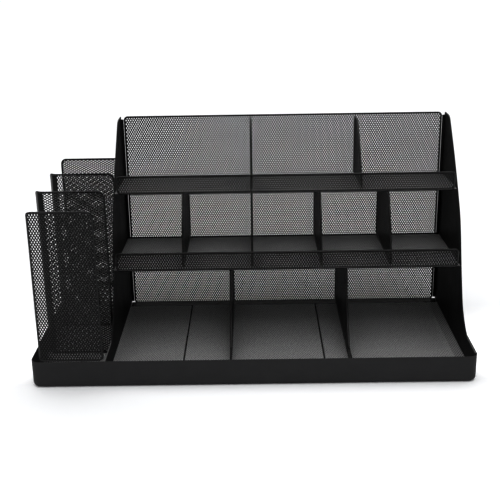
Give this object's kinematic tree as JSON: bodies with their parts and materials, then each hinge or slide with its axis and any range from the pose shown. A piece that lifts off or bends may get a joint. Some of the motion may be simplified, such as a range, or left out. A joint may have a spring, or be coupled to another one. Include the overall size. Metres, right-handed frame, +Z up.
{
  "type": "desk organizer",
  "caption": "Black steel mesh desk organizer: tiered shelves split into compartments over a base tray, beside an upright letter sorter.",
  "frame": {"origin": "on the table, under the middle of the base", "axes": "+X to the user's right along the length, +Y to the back, +Z up"},
  "size_m": [0.61, 0.3, 0.318],
  "materials": {
    "skirt_paint": "satin black powder coat on sheet steel",
    "side_panel_paint": "satin black powder coat on sheet steel",
    "wire_paint": "semi-gloss black powder coat on steel wire",
    "mesh_paint": "satin black powder coat on perforated steel sheet"
  },
  "bodies": {
    "root": {"base_skirt": "skirt_paint", "floor_frame": "wire_paint", "floor_rod_left": "wire_paint", "floor_rod_right": "wire_paint", "floor_mesh": "mesh_paint", "side_panel_left": "side_panel_paint", "side_panel_right": "side_panel_paint", "back_frame": "wire_paint", "back_mesh": "mesh_paint", "mid_shelf_mesh": "mesh_paint", "mid_shelf_rear_rod": "wire_paint", "mid_lip_frame": "wire_paint", "mid_lip_mesh": "mesh_paint", "top_shelf_mesh": "mesh_paint", "top_shelf_rear_rod": "wire_paint", "top_lip_frame": "wire_paint", "top_lip_mesh": "mesh_paint", "top_divider_1_frame": "wire_paint", "top_divider_1_mesh": "mesh_paint", "top_divider_2_frame": "wire_paint", "top_divider_2_mesh": "mesh_paint", "mid_divider_1_frame": "wire_paint", "mid_divider_1_mesh": "mesh_paint", "mid_divider_2_frame": "wire_paint", "mid_divider_2_mesh": "mesh_paint", "mid_divider_3_frame": "wire_paint", "mid_divider_3_mesh": "mesh_paint", "mid_divider_4_frame": "wire_paint", "mid_divider_4_mesh": "mesh_paint", "bottom_divider_1_frame": "wire_paint", "bottom_divider_1_mesh": "mesh_paint", "bottom_divider_2_frame": "wire_paint", "bottom_divider_2_mesh": "mesh_paint", "sorter_upstand_frame": "wire_paint", "sorter_upstand_mesh": "mesh_paint", "sorter_panel_1_frame": "wire_paint", "sorter_panel_1_mesh": "mesh_paint", "sorter_panel_2_frame": "wire_paint", "sorter_panel_2_mesh": "mesh_paint", "sorter_panel_3_frame": "wire_paint", "sorter_panel_3_mesh": "mesh_paint", "sorter_panel_4_frame": "wire_paint", "sorter_panel_4_mesh": "mesh_paint"}
  },
  "joints": []
}
